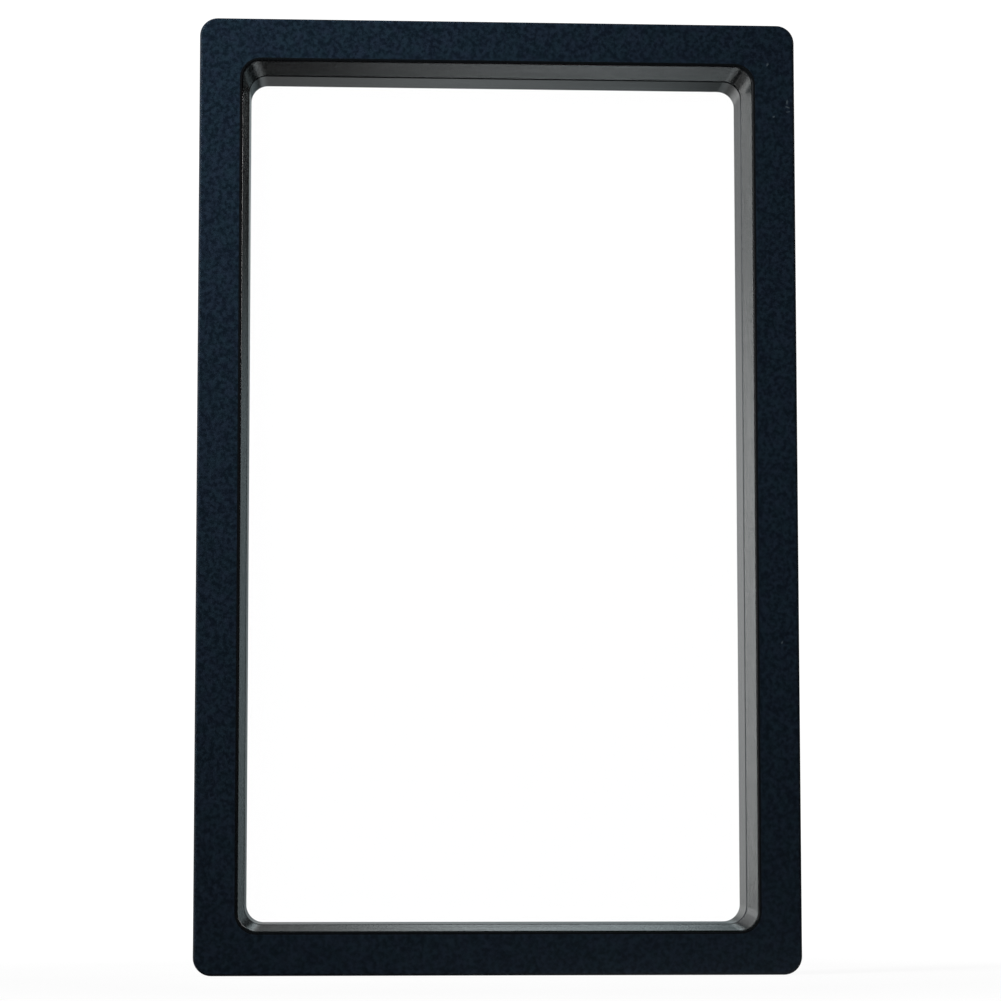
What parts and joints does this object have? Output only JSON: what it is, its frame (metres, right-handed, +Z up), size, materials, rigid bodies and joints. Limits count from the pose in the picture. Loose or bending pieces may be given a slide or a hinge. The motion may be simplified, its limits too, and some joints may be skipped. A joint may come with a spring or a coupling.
{
  "type": "floating display frame",
  "caption": "Upright rectangular display case for jewelry: hinged black plastic frame with a wide opening and clear films that hold the item between them.",
  "frame": {"origin": "centre of the bottom of the closed case", "axes": "+Z up, front face towards -Y, width along X, hinge on the -X side"},
  "size_m": [0.14, 0.02, 0.2227],
  "materials": {
    "frame_black": "matte",
    "ring_black": "matte",
    "film_clear": "gloss",
    "pin_steel": "satin"
  },
  "bodies": {
    "rear_half": {"rear_frame": "frame_black", "rear_film_ring": "ring_black", "rear_film": "film_clear", "lower_hinge_pin": "pin_steel", "upper_hinge_pin": "pin_steel"},
    "front_half": {"front_frame": "frame_black", "front_film_ring": "ring_black", "front_film": "film_clear"}
  },
  "joints": [
    {"name": "book_hinge", "type": "hinge", "parent": "rear_half", "child": "front_half", "pos_m": [-0.0681, 0, 0.11135], "axis": [0, 0, -1], "range_deg": [0, 120]}
  ]
}
